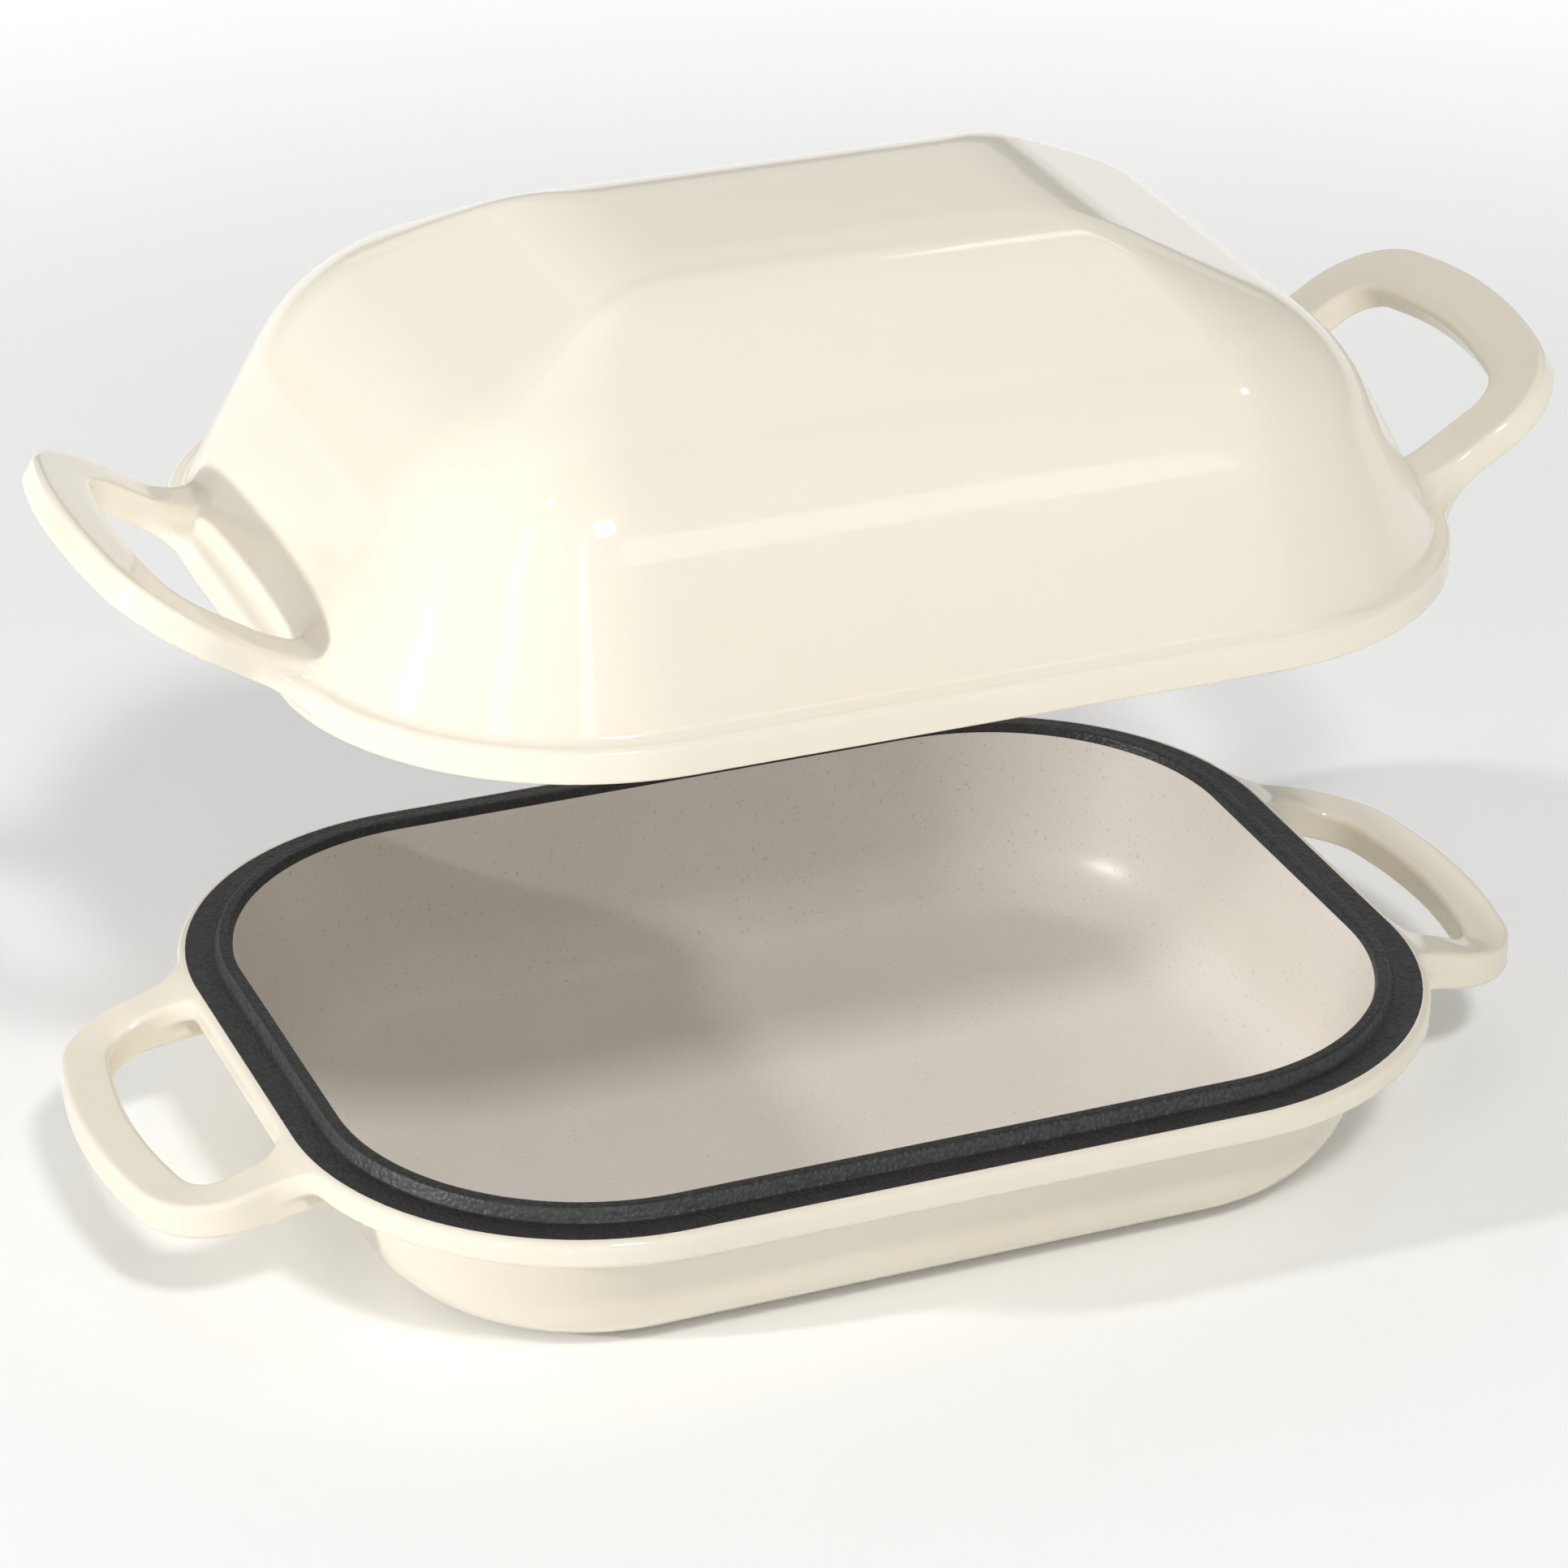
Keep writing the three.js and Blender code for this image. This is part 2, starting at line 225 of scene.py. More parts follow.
class Board:
    """A node tree that is filled by expressions."""

    def __init__(self, tree):
        self.tree = tree

    def node(self, kind, settings=None, inputs=None, output=0):
        """Adds a node, sets it up, fills or links its sockets, and gives one of its outputs."""
        made = self.tree.nodes.new(kind)
        for name, value in (settings or {}).items():
            setattr(made, name, value)
        for name, value in (inputs or {}).items():
            for entry in value if isinstance(value, list) else [value]:
                if isinstance(entry, Wire):
                    self.tree.links.new(entry.socket, made.inputs[name])
                else:
                    made.inputs[name].default_value = entry
        return Wire(self, made.outputs[output]) if len(made.outputs) else made

    def sum(self, operation, first, second):
        """One step of arithmetic."""
        return self.node("ShaderNodeMath", {"operation": operation}, {0: first, 1: second})

    def least(self, first, second):
        """The smaller of two values."""
        return self.sum("MINIMUM", first, second)

    def most(self, first, second):
        """The larger of two values."""
        return self.sum("MAXIMUM", first, second)

    def between(self, value, low, high, ease="LINEAR"):
        """From 0 where the value is low to 1 where it is high."""
        inputs = {"Value": value, "From Min": low, "From Max": high}
        return self.node("ShaderNodeMapRange", {"interpolation_type": ease}, inputs)

    def blend(self, share, first, second):
        """From the first colour to the second."""
        return self.node("ShaderNodeMix", {"data_type": "RGBA"}, {0: share, 6: first, 7: second}, 2)


# Materials


def new_surface(name):
    """A material with an empty board, and its object coordinates."""
    material = bpy.data.materials.new(name)
    material.use_nodes = True
    material.node_tree.nodes.clear()
    board = Board(material.node_tree)
    return material, board, board.node("ShaderNodeTexCoord", output="Object")


def finish_surface(board, inputs):
    """The shader, linked to the material's output."""
    surface = board.node("ShaderNodeBsdfPrincipled", None, inputs)
    board.node("ShaderNodeOutputMaterial", None, {"Surface": surface})


def noise(board, place, scale, detail=2.0):
    """Noise from 0 to 1, with this many cells to the metre."""
    inputs = {"Vector": place, "Scale": scale, "Detail": detail, "Roughness": 0.5}
    return board.node("ShaderNodeTexNoise", None, inputs)


def bump(board, height, distance, under=None):
    """A normal bent by a height, in metres for a height of 1."""
    inputs = {"Height": height, "Distance": distance, "Strength": 1.0}
    if under is not None:
        inputs["Normal"] = under
    return board.node("ShaderNodeBump", None, inputs)


def opaque(shade, gain=1.0):
    """A colour with full alpha, its parts times a gain."""
    return (*(part * gain for part in shade), 1.0)


def gloss_enamel(colours):
    """Cream enamel: a clear glassy coat with slight flow, over a warm body that varies in depth."""
    material, board, place = new_surface("cream_gloss_enamel")
    pooled = noise(board, place, scale=11, detail=3)
    cloud = noise(board, place, scale=38)
    depth = board.between(pooled * 0.7 + cloud * 0.3, low=0.36, high=0.68)
    flow = bump(board, noise(board, place, scale=55, detail=1), distance=0.09 * MM)
    peel = bump(board, noise(board, place, scale=420), distance=0.006 * MM, under=flow)
    finish_surface(board, {
        "Base Color": board.blend(depth * 0.30, opaque(colours.cream), opaque(colours.thick_cream)),
        "Roughness": 0.04 + cloud * 0.06,
        "Normal": peel,
        "IOR": 1.52,
    })
    return material


def matt_enamel(name, body):
    """Dark enamel of the rim: matt, with a pebbled skin like coarse leather, its pebble tops painted
    lighter as a painted highlight.
    """
    material, board, place = new_surface(name)
    warp = noise(board, place, scale=260)
    pebble = board.node("ShaderNodeTexVoronoi", {"feature": "SMOOTH_F1"},
                        {"Vector": place, "Scale": 880.0, "Smoothness": 0.7, "Randomness": 1.0})
    grit = noise(board, place, scale=1500)
    height = (1 - pebble) * 0.75 + warp * 0.6 + grit * 0.15
    # Painted highlight: the pebble tops are painted up to 1.9 times lighter than the body colour.
    lit = board.between(height, low=0.55, high=1.15)
    finish_surface(board, {
        "Base Color": board.blend(lit, opaque(body), opaque(body, gain=1.9)),
        "Roughness": 0.54 - lit * 0.14,
        "Normal": bump(board, height, distance=0.30 * MM),
        "IOR": 1.5,
    })
    return material


def rim_enamel(colours):
    """The seat and the lip."""
    return matt_enamel("black_matt_enamel", colours.rim)


def step_enamel(colours):
    """The leaning step between them, painted lighter than the seat and the lip. This painted light stands
    in for the light that the step catches.
    """
    return matt_enamel("step_painted_light_matt_enamel", colours.step)


def pale_enamel(colours):
    """Pale grey enamel of the inside: satin, with fine darker specks."""
    material, board, place = new_surface("pale_satin_enamel")
    cloud = noise(board, place, scale=24, detail=3)
    specks = board.between(noise(board, place, scale=900, detail=1), low=0.66, high=0.76)
    body = board.blend(cloud, opaque(colours.inside), opaque(colours.inside, gain=0.90))
    finish_surface(board, {
        "Base Color": board.blend(specks * 0.5, body, opaque(colours.inside, gain=0.55)),
        "Roughness": 0.30 + cloud * 0.12,
        "Normal": bump(board, noise(board, place, scale=80), distance=0.12 * MM),
        "IOR": 1.5,
    })
    return material


# Lines and rows


def rounded_line(corners, stretch, hold=0.0):
    """A line through corners (x, y, round, steps), with arcs at the rounded ones and points along the
    straights no further apart than stretch, the outer ones a short hold from the arcs.
    Also gives each corner's first and last index."""
    corners = [(*corner, 0.0, 1)[:4] for corner in corners]
    groups = []
    for i, (x, y, radius, steps) in enumerate(corners):
        spot = np.array((x, y))
        if radius == 0 or i in (0, len(corners) - 1):
            groups.append([spot])
            continue
        back = np.array(corners[i - 1][:2]) - spot
        ahead = np.array(corners[i + 1][:2]) - spot
        back, ahead = back / np.linalg.norm(back), ahead / np.linalg.norm(ahead)
        half = math.acos(max(-1.0, min(1.0, float(back @ ahead)))) / 2
        middle = (back + ahead) / np.linalg.norm(back + ahead)
        centre = spot + middle * radius / math.sin(half)
        start = spot + back * radius / math.tan(half) - centre
        turn = math.copysign(math.pi - 2 * half, back[1] * ahead[0] - back[0] * ahead[1])
        arc = []
        for k in range(steps + 1):
            c, s = math.cos(turn * k / steps), math.sin(turn * k / steps)
            arc.append(centre + np.array((c * start[0] - s * start[1], s * start[0] + c * start[1])))
        groups.append(arc)
    points, spans = [], []
    for group in groups:
        if points:
            points.extend(straight(points[-1], group[0], stretch, hold))
        spans.append((len(points), len(points) + len(group) - 1))
        points.extend(group)
    return np.array(points), spans


def straight(start, end, stretch, hold):
    """The points between two ends."""
    gap = np.linalg.norm(end - start)
    margin = hold if gap > 4 * hold else 0.0
    cells = max(1, math.ceil((gap - 2 * margin) / stretch))
    shares = [margin / gap + (1 - 2 * margin / gap) * k / cells for k in range(cells + 1)]
    return [start + (end - start) * share for share in shares if SAME_SHARE < share < 1 - SAME_SHARE]


class Profile:
    """Rows of a casting from the middle of its outside to the middle of its inside: inset, height and
    the finish of the strip that follows each row."""

    def __init__(self, lines):
        self.rows, self.finishes = [], []
        for finish, points in lines:
            self.rows.extend(points[1:] if self.rows else points)
            self.finishes.extend([finish] * (len(points) - 1))
        self.rows = np.array(self.rows)

    def nearest(self, first, last, height):
        """The row between two others that is nearest to a height."""
        return first + int(np.argmin(np.abs(self.rows[first:last + 1, 1] - height)))


def quarter_columns(rim, handle, bar, edge_radius):
    """Stations round a quarter of the outline, from the middle of the end to the middle of the side.
    Each is (x share, y share, x facing, y facing). The arm's root takes an exact run of columns."""
    end = rim.half_width - rim.corner
    side = rim.half_length - rim.corner
    arm_start = handle.half_width - bar.bar_width - handle.fillet
    arm_turn = math.asin((handle.half_width + bar.flare - end) / edge_radius)
    stations = [(1, y / end, 1, 0) for y in np.linspace(0, arm_start, END_CELLS + 1)[:-1]]
    for s in np.linspace(arm_start, end + edge_radius * arm_turn, ARM_CELLS + 1):
        turn = max(0.0, s - end) / edge_radius
        stations.append((1, min(s, end) / end, math.cos(turn), math.sin(turn)))
    for turn in np.linspace(arm_turn, math.pi / 2, CORNER_CELLS + 1)[1:]:
        stations.append((1, 1, math.cos(turn), math.sin(turn)))
    for x in np.linspace(side, 0, SIDE_CELLS + 1)[1:]:
        stations.append((x / side, 1, 0, 1))
    return np.array(stations, float)


# Geometry nodes


def new_tree(name, sizes):
    """A geometry tree with one input for each size, its board, and its inputs by name."""
    tree = bpy.data.node_groups.new(name, "GeometryNodeTree")
    tree.interface.new_socket("Geometry", in_out="INPUT", socket_type="NodeSocketGeometry")
    tree.interface.new_socket("Geometry", in_out="OUTPUT", socket_type="NodeSocketGeometry")
    for size, kind in sizes.items():
        tree.interface.new_socket(size, in_out="INPUT", socket_type=kind)
    board = Board(tree)
    entry = tree.nodes.new("NodeGroupInput")
    return tree, board, {socket.name: Wire(board, socket) for socket in entry.outputs if socket.name}


def run_tree(owner, tree, values):
    """Runs a tree on an object with these inputs, and gives the result as a plain mesh."""
    modifier = owner.modifiers.new(tree.name, "NODES")
    modifier.node_group = tree
    for socket in tree.interface.items_tree:
        if socket.in_out == "INPUT" and socket.name in values:
            modifier[socket.identifier] = values[socket.name]
    owner.update_tag()
    graph = bpy.context.evaluated_depsgraph_get()
    mesh = bpy.data.meshes.new_from_object(owner.evaluated_get(graph), depsgraph=graph)
    owner.modifiers.remove(modifier)
    return mesh


def sweep_tree():
    """The rule of a casting: every row runs round a rounded rectangle that shrinks with its inset.
    Up to the concentric width it keeps its distance; past it the ends draw in faster and the
    corners ease down to the top's corner."""
    names = ("Half length", "Half width", "Corner", "Clearance", "Concentric width", "End slope",
             "Top inset", "Top corner", "Corner ease", "Level")
    sizes = {**dict.fromkeys(names, "NodeSocketFloat"), "Finish": "NodeSocketMaterial"}
    tree, board, size = new_tree("casting_sweep", sizes)

    def stored(name):
        kind = {"data_type": "FLOAT_VECTOR"}
        vector = board.node("GeometryNodeInputNamedAttribute", kind, {"Name": name})
        return [board.node("ShaderNodeSeparateXYZ", None, {0: vector}, k) for k in range(2)]

    inset, height = stored("row")
    share_x, share_y = stored("station")
    facing_x, facing_y = stored("facing")
    edge = size["Clearance"] + board.least(inset, size["Concentric width"])
    drawn = board.most(inset - size["Concentric width"], 0.0)
    left = board.most(1 - drawn / (size["Top inset"] - size["Concentric width"]), 0.0)
    wider = size["Corner"] - edge - size["Top corner"]
    corner = size["Top corner"] + wider * left ** size["Corner ease"]
    x = share_x * (size["Half length"] - edge - drawn * size["End slope"] - corner) + corner * facing_x
    y = share_y * (size["Half width"] - edge - drawn - corner) + corner * facing_y
    spot = board.node("ShaderNodeCombineXYZ", None, {0: x, 1: y, 2: height + size["Level"]})
    swept = board.node("GeometryNodeSetPosition", None, {"Geometry": size["Geometry"], "Position": spot})
    swept = board.node("GeometryNodeRealizeInstances", None, {"Geometry": swept})
    swept = board.node("GeometryNodeSetMaterial", None, {"Geometry": swept, "Material": size["Finish"]})
    board.node("NodeGroupOutput", None, {"Geometry": swept})
    return tree


def quarters_tree():
    """Four mirrored copies of a quarter, welded, smooth, with the finish of each face as a material."""
    kinds = dict.fromkeys(("Cream", "Rim", "Inside", "Step"), "NodeSocketMaterial")
    tree, board, size = new_tree("casting_quarters", {"Weld": "NodeSocketFloat", **kinds})
    copies = [
        board.node("GeometryNodeTransform", None, {"Geometry": size["Geometry"], "Scale": (x, y, 1.0)})
        for x in (1.0, -1.0) for y in (1.0, -1.0)
    ]
    whole = board.node("GeometryNodeJoinGeometry", None, {"Geometry": copies})
    whole = board.node("GeometryNodeMergeByDistance", None, {"Geometry": whole, "Distance": size["Weld"]})
    whole = board.node("GeometryNodeSetShadeSmooth", None, {"Geometry": whole})
    whole = board.node("GeometryNodeRealizeInstances", None, {"Geometry": whole})
    finish = board.node("GeometryNodeInputNamedAttribute", {"data_type": "FLOAT"}, {"Name": "finish"})
    for mark, name in enumerate(kinds):
        test = {0: finish, 1: float(mark), 2: 0.5}
        chosen = board.node("ShaderNodeMath", {"operation": "COMPARE"}, test)
        inputs = {"Geometry": whole, "Selection": chosen, "Material": size[name]}
        whole = board.node("GeometryNodeSetMaterial", None, inputs)
    board.node("NodeGroupOutput", None, {"Geometry": whole})
    return tree


def new_mesh(name, points, faces):
    """A mesh and an object that holds it, in the scene."""
    mesh = bpy.data.meshes.new(name)
    mesh.from_pydata([tuple(point) for point in points], [], faces)
    owner = bpy.data.objects.new(name, mesh)
    bpy.context.scene.collection.objects.link(owner)
    return owner


def discard(owner):
    """Removes an object and its mesh."""
    mesh = owner.data
    bpy.data.objects.remove(owner)
    bpy.data.meshes.remove(mesh)


def swept_grid(profile, columns, values):
    """The places of a casting's rows and columns, by the sweep tree."""
    rows, count = len(profile.rows), len(columns)
    flat = [(c, r, 0.0) for r in range(rows) for c in range(count)]
    owner = new_mesh("casting_rule", flat, [])
    stores = {
        "row": np.repeat(np.c_[profile.rows, np.zeros(rows)], count, axis=0),
        "station": np.tile(np.c_[columns[:, :2], np.zeros(count)], (rows, 1)),
        "facing": np.tile(np.c_[columns[:, 2:], np.zeros(count)], (rows, 1)),
    }
    for name, data in stores.items():
        store = owner.data.attributes.new(name, "FLOAT_VECTOR", "POINT")
        store.data.foreach_set("vector", data.astype(np.float32).ravel())
    mesh = run_tree(owner, sweep_tree(), values)
    places = np.zeros(rows * count * 3, np.float32)
    mesh.vertices.foreach_get("co", places)
    bpy.data.meshes.remove(mesh)
    discard(owner)
    return places.astype(float).reshape(rows, count, 3)


# Handles


class Quarter:
    """Points and faces of a quarter of a casting, with each face's finish."""

    def __init__(self, grid, profile):
        self.rows, self.count = grid.shape[:2]
        self.points = [Vector(point) for point in grid.reshape(-1, 3)]
        self.profile = profile
        self.faces, self.finishes = [], []

    def at(self, row, column):
        """The index of a point of the grid."""
        return row * self.count + column

    def face(self, corners, finish):
        """Adds a face."""
        self.faces.append(corners)
        self.finishes.append(finish)

    def shell(self, hole):
        """The swept strips, apart from the cells of the hole."""
        for r in range(self.rows - 1):
            for c in range(self.count - 1):
                if (r, c) not in hole:
                    corners = [self.at(r, c), self.at(r, c + 1), self.at(r + 1, c + 1), self.at(r + 1, c)]
                    self.face(corners, self.profile.finishes[r])

    def cap(self, row, finish):
        """The flat middle inside a row, in strips across the width."""
        ring = [self.at(row, c) for c in range(self.count)]
        edge = self.points[ring[0]].x - SAME_PLACE
        turn = max(c for c in range(self.count) if self.points[ring[c]].x > edge)
        feet = {}
        for c in range(turn + 1, self.count):
            spot = self.points[ring[c]]
            feet[c] = len(self.points)
            self.points.append(Vector((spot.x, 0.0, spot.z)))
        self.face([*ring[:turn + 2], feet[turn + 1]], finish)
        for c in range(turn + 1, self.count - 1):
            self.face([ring[c], ring[c + 1], feet[c + 1], feet[c]], finish)

    def band(self, first, second, finish):
        """A closed strip between two loops of points."""
        for k, near in enumerate(first):
            after = (k + 1) % len(first)
            self.face([near, first[after], second[after], second[k]], finish)

    def relax(self, loose, rounds):
        """Eases some of the points towards the middle of their neighbours, a few times over."""
        beside = {k: set() for k in loose}
        for corners in self.faces:
            for k, corner in enumerate(corners):
                if corner in beside:
                    beside[corner].update((corners[k - 1], corners[(k + 1) % len(corners)]))
        for _ in range(rounds):
            middles = {
                k: sum((self.points[n] for n in near), Vector()) / len(near)
                for k, near in beside.items()
            }
            for k, spot in middles.items():
                self.points[k] = self.points[k].lerp(spot, 0.5)

    def mesh(self, name):
        """The quarter as an object, without the points that no face uses."""
        used = sorted({k for corners in self.faces for k in corners})
        order = {old: new for new, old in enumerate(used)}
        faces = [[order[k] for k in corners] for corners in self.faces]
        owner = new_mesh(name, [self.points[k] for k in used], faces)
        store = owner.data.attributes.new("finish", "FLOAT", "FACE")
        store.data.foreach_set("value", np.array(self.finishes, np.float32))
        return owner


class Hole:
    """The cells of a quarter that an arm grows from. Rows run from the arm's top to its foot, and the
    hole narrows where the rows lie further in than the casting's edge."""

    STEPS_IN = 3

    def __init__(self, quarter, rows, narrow_over):
        edges = quarter.profile.rows[rows, 0]
        insets = (edges[:-1] + edges[1:]) / 2
        steps = [round(self.STEPS_IN * max(0.0, min(1.0, inset / narrow_over))) for inset in insets]
        inner = [END_CELLS + step for step in steps]
        outer = [END_CELLS + ARM_CELLS - step for step in steps]
        self.quarter = quarter
        self.cells = {
            (min(a, b), c)
            for a, b, low, high in zip(rows, rows[1:], inner, outer)
            for c in range(low, high)
        }
        top = [(rows[0], c) for c in range(inner[0], outer[0] + 1)]
        foot = [(rows[-1], c) for c in range(outer[-1], inner[-1] - 1, -1)]
        down = self.flank(rows, outer)
        up = self.flank(rows, inner)[::-1]
        self.loop = top[:-1] + down[:-1] + foot[:-1] + up[:-1]
        self.counts = [len(side) - 1 for side in (top, down, foot, up)]

    @staticmethod
    def flank(rows, columns):
        """One side of the hole, from its top to its foot."""
        spots = [(rows[0], columns[0])]
        for k, column in enumerate(columns):
            step = 1 if column > spots[-1][1] else -1
            while spots[-1][1] != column:
                spots.append((rows[k], spots[-1][1] + step))
            spots.append((rows[k + 1], column))
        return spots

    def inward(self, row, column):
        """The way into the hole along the casting's skin, from a point of its loop."""
        points, at = self.quarter.points, self.quarter.at
        total = Vector()
        for r in (row - 1, row):
            for c in (column - 1, column):
                if (r, c) in self.cells:
                    corners = (at(r, c), at(r, c + 1), at(r + 1, c), at(r + 1, c + 1))
                    middle = sum((points[k] for k in corners), Vector()) / 4
                    total += (middle - points[at(row, column)]).normalized()
        return total.normalized()


def bar_section(width, height, edge, counts):
    """Points round the bar, clockwise from the middle of its upper inner edge, with so many to the top,
    the outer side, the foot and the inner side. Each is (outwards, upwards)."""
    reach, rise = width / 2 - edge, height / 2 - edge
    centres = np.array(((-reach, rise), (reach, rise), (reach, -rise), (-reach, -rise)))
    points = []

    def skin(centre, turn):
        return centre + edge * np.array((math.cos(turn), math.sin(turn)))

    for k, count in enumerate(counts):
        start, end = centres[k], centres[(k + 1) % 4]
        facing = (1 - k) * math.pi / 2
        half = min(EDGE_STEPS, (count - 1) // 2)
        flat = count - 2 * half
        points += [skin(start, facing + math.pi / 4 * (1 - i / half)) for i in range(half)]
        points += [skin(start + (end - start) * i / flat, facing) for i in range(flat)]
        points += [skin(end, facing - math.pi / 4 * i / half) for i in range(half)]
    return points


def half_loop(handle, bar, start):
    """The bar's middle line in the handle's plane, from an arm to the middle of the grip, as places and
    the ways that it runs."""
    side = handle.half_width - bar.bar_width / 2
    tip = bar.reach - bar.bar_width / 2
    bend = tip - handle.bow
    bow = (side - handle.bend) / math.tan(math.atan2(handle.bow, side))
    line, spans = rounded_line([
        (start, side),
        (bend, side, handle.bend, BEND_STEPS),
        (tip, 0, bow, BOW_STEPS),
        (bend, -side, handle.bend, BEND_STEPS),
        (start, -side),
    ], stretch=BAR_STRETCH)
    middle = (spans[2][0] + spans[2][1]) // 2
    line = line[:middle + 2]
    ways = [np.array((1.0, 0.0))]
    ways += [(after - before) / np.linalg.norm(after - before) for before, after in zip(line, line[2:])]
    ways[-1] = np.array((0.0, -1.0))
    return line[:-1], ways


def grow_handle(quarter, hole, handle, bar, origin, tilt):
    """Half of a loop handle, from a hole in the casting to the plane y = 0, with a fillet at its root.
    The origin is level with the grip's upper face, where an arm leaves the casting's edge."""
    along = Vector((math.cos(tilt), 0.0, math.sin(tilt)))
    upward = Vector((-math.sin(tilt), 0.0, math.cos(tilt)))
    sideways = Vector((0.0, 1.0, 0.0))
    rings = []
    for place, way in zip(*half_loop(handle, bar, handle.fillet + ROOT_GAP)):
        near = 1 - min(1.0, max(0.0, place[0] / handle.ramp))
        ramp = near * near * (3 - 2 * near)
        top, foot = bar.top_rise * ramp, bar.foot_rise * ramp - bar.bar_thickness
        outward = along * -way[1] + sideways * way[0]
        middle = Vector(origin) + along * place[0] + sideways * place[1] + upward * (top + foot) / 2
        section = bar_section(bar.bar_width, top - foot, handle.bar_edge, hole.counts)
        rings.append([middle + outward * float(a) + upward * float(b) for a, b in section])
    starts = [quarter.points[quarter.at(*spot)] for spot in hole.loop]
    inward = [hole.inward(*spot) for spot in hole.loop]
    ends = [(q, (ahead - q).normalized()) for q, ahead in zip(rings[0], rings[1])]
    root = [
        [fillet_point(p, q, way, run, k / ROOT_STEPS) for p, way, (q, run) in zip(starts, inward, ends)]
        for k in range(1, ROOT_STEPS)
    ]
    last = [quarter.at(*spot) for spot in hole.loop]
    loose = list(last)
    for k, ring in enumerate(root + rings):
        fresh = list(range(len(quarter.points), len(quarter.points) + len(ring)))
        quarter.points.extend(ring)
        quarter.band(last, fresh, CREAM)
        last = fresh
        if k < len(root):
            loose += fresh
    quarter.relax(loose, ROOT_ROUNDS)


def fillet_point(start, end, leave, arrive, share):
    """A point of the curve that leaves the casting along its skin and arrives along the arm."""
    gap = end - start
    pull = min(ROOT_PULL * abs(gap.dot(leave)), ROOT_LIMIT * gap.length)
    push = min(ROOT_PULL * abs(gap.dot(arrive)), ROOT_LIMIT * gap.length)
    s, s2, s3 = share, share ** 2, share ** 3
    return (
        start * (2 * s3 - 3 * s2 + 1) + end * (3 * s2 - 2 * s3)
        + leave * pull * (s3 - 2 * s2 + s) + arrive * push * (s3 - s2)
    )


# Castings


def enamels(colours):
    """The four finishes, made once."""
    makers = {
        "Cream": ("cream_gloss_enamel", gloss_enamel),
        "Rim": ("black_matt_enamel", rim_enamel),
        "Step": ("step_painted_light_matt_enamel", step_enamel),
        "Inside": ("pale_satin_enamel", pale_enamel),
    }
    known = bpy.data.materials
    return {name: known.get(finish) or make(colours) for name, (finish, make) in makers.items()}


def whole_casting(name, quarter, colours):
    """The four quarters as one closed, plain mesh."""
    owner = quarter.mesh(name + "_quarter")
    mesh = run_tree(owner, quarters_tree(), {"Weld": WELD, **enamels(colours)})
    discard(owner)
    shape = bmesh.new()
    shape.from_mesh(mesh)
    bmesh.ops.recalc_face_normals(shape, faces=shape.faces)
    if shape.calc_volume(signed=True) < 0:
        bmesh.ops.reverse_faces(shape, faces=shape.faces)
    open_edges = [edge for edge in shape.edges if len(edge.link_faces) != 2]
    shape.to_mesh(mesh)
    shape.free()
    if open_edges:
        raise RuntimeError(f"{name} has {len(open_edges)} open edges")
    mesh.name = name
    piece = bpy.data.objects.new(name, mesh)
    bpy.context.scene.collection.objects.link(piece)
    return piece


def pan_profile(rim, pan):
    """The pan's rows, and its handle's rows from the flange's upper edge to the wall."""
    flange_foot = rim.seat_height - pan.flange
    lip_top = rim.seat_height + rim.lip_rise
    rise = math.tan(pan.draft)
    bottom = pan.wall_inset + flange_foot * rise
    across = pan.wall / math.cos(pan.draft)

    def inner(height):
        return pan.wall_inset + across + (flange_foot - height) * rise

    outside, spans = rounded_line([
        (bottom + pan.bottom_round, 0),
        (bottom, 0, pan.bottom_round, 12),
        (pan.wall_inset, flange_foot, pan.underside_fillet, 4),
        (-pan.border, flange_foot, pan.foot_round, 3),
        (-pan.border, rim.seat_height, pan.border, 5),
        (pan.border, rim.seat_height),
    ], **OUTSIDE_ROWS)
    outside = outside[:spans[4][1] + 1]
    band, turns = rounded_line([
        (0, rim.seat_height),
        (rim.seat_width, rim.seat_height, rim.lip_fillet, 3),
        (rim.seat_width + rim.lip_run, lip_top, rim.lip_edge, 4),
        (inner(lip_top), lip_top, rim.lip_edge, 4),
        (inner(lip_top - 3 * rim.lip_edge), lip_top - 3 * rim.lip_edge),
    ], **RIM_ROWS)
    inside, _ = rounded_line([
        tuple(band[-1]),
        (inner(pan.floor), pan.floor, pan.floor_round, 12),
        (inner(pan.floor) + pan.floor_round, pan.floor),
    ], **INSIDE_ROWS)
    foot, head = turns[1][1], turns[2][0]
    profile = Profile([
        (CREAM, outside),
        (RIM, band[:foot + 1]),
        (STEP, band[foot:head + 1]),
        (RIM, band[head:]),
        (INSIDE, inside),
    ])
    return profile, spans


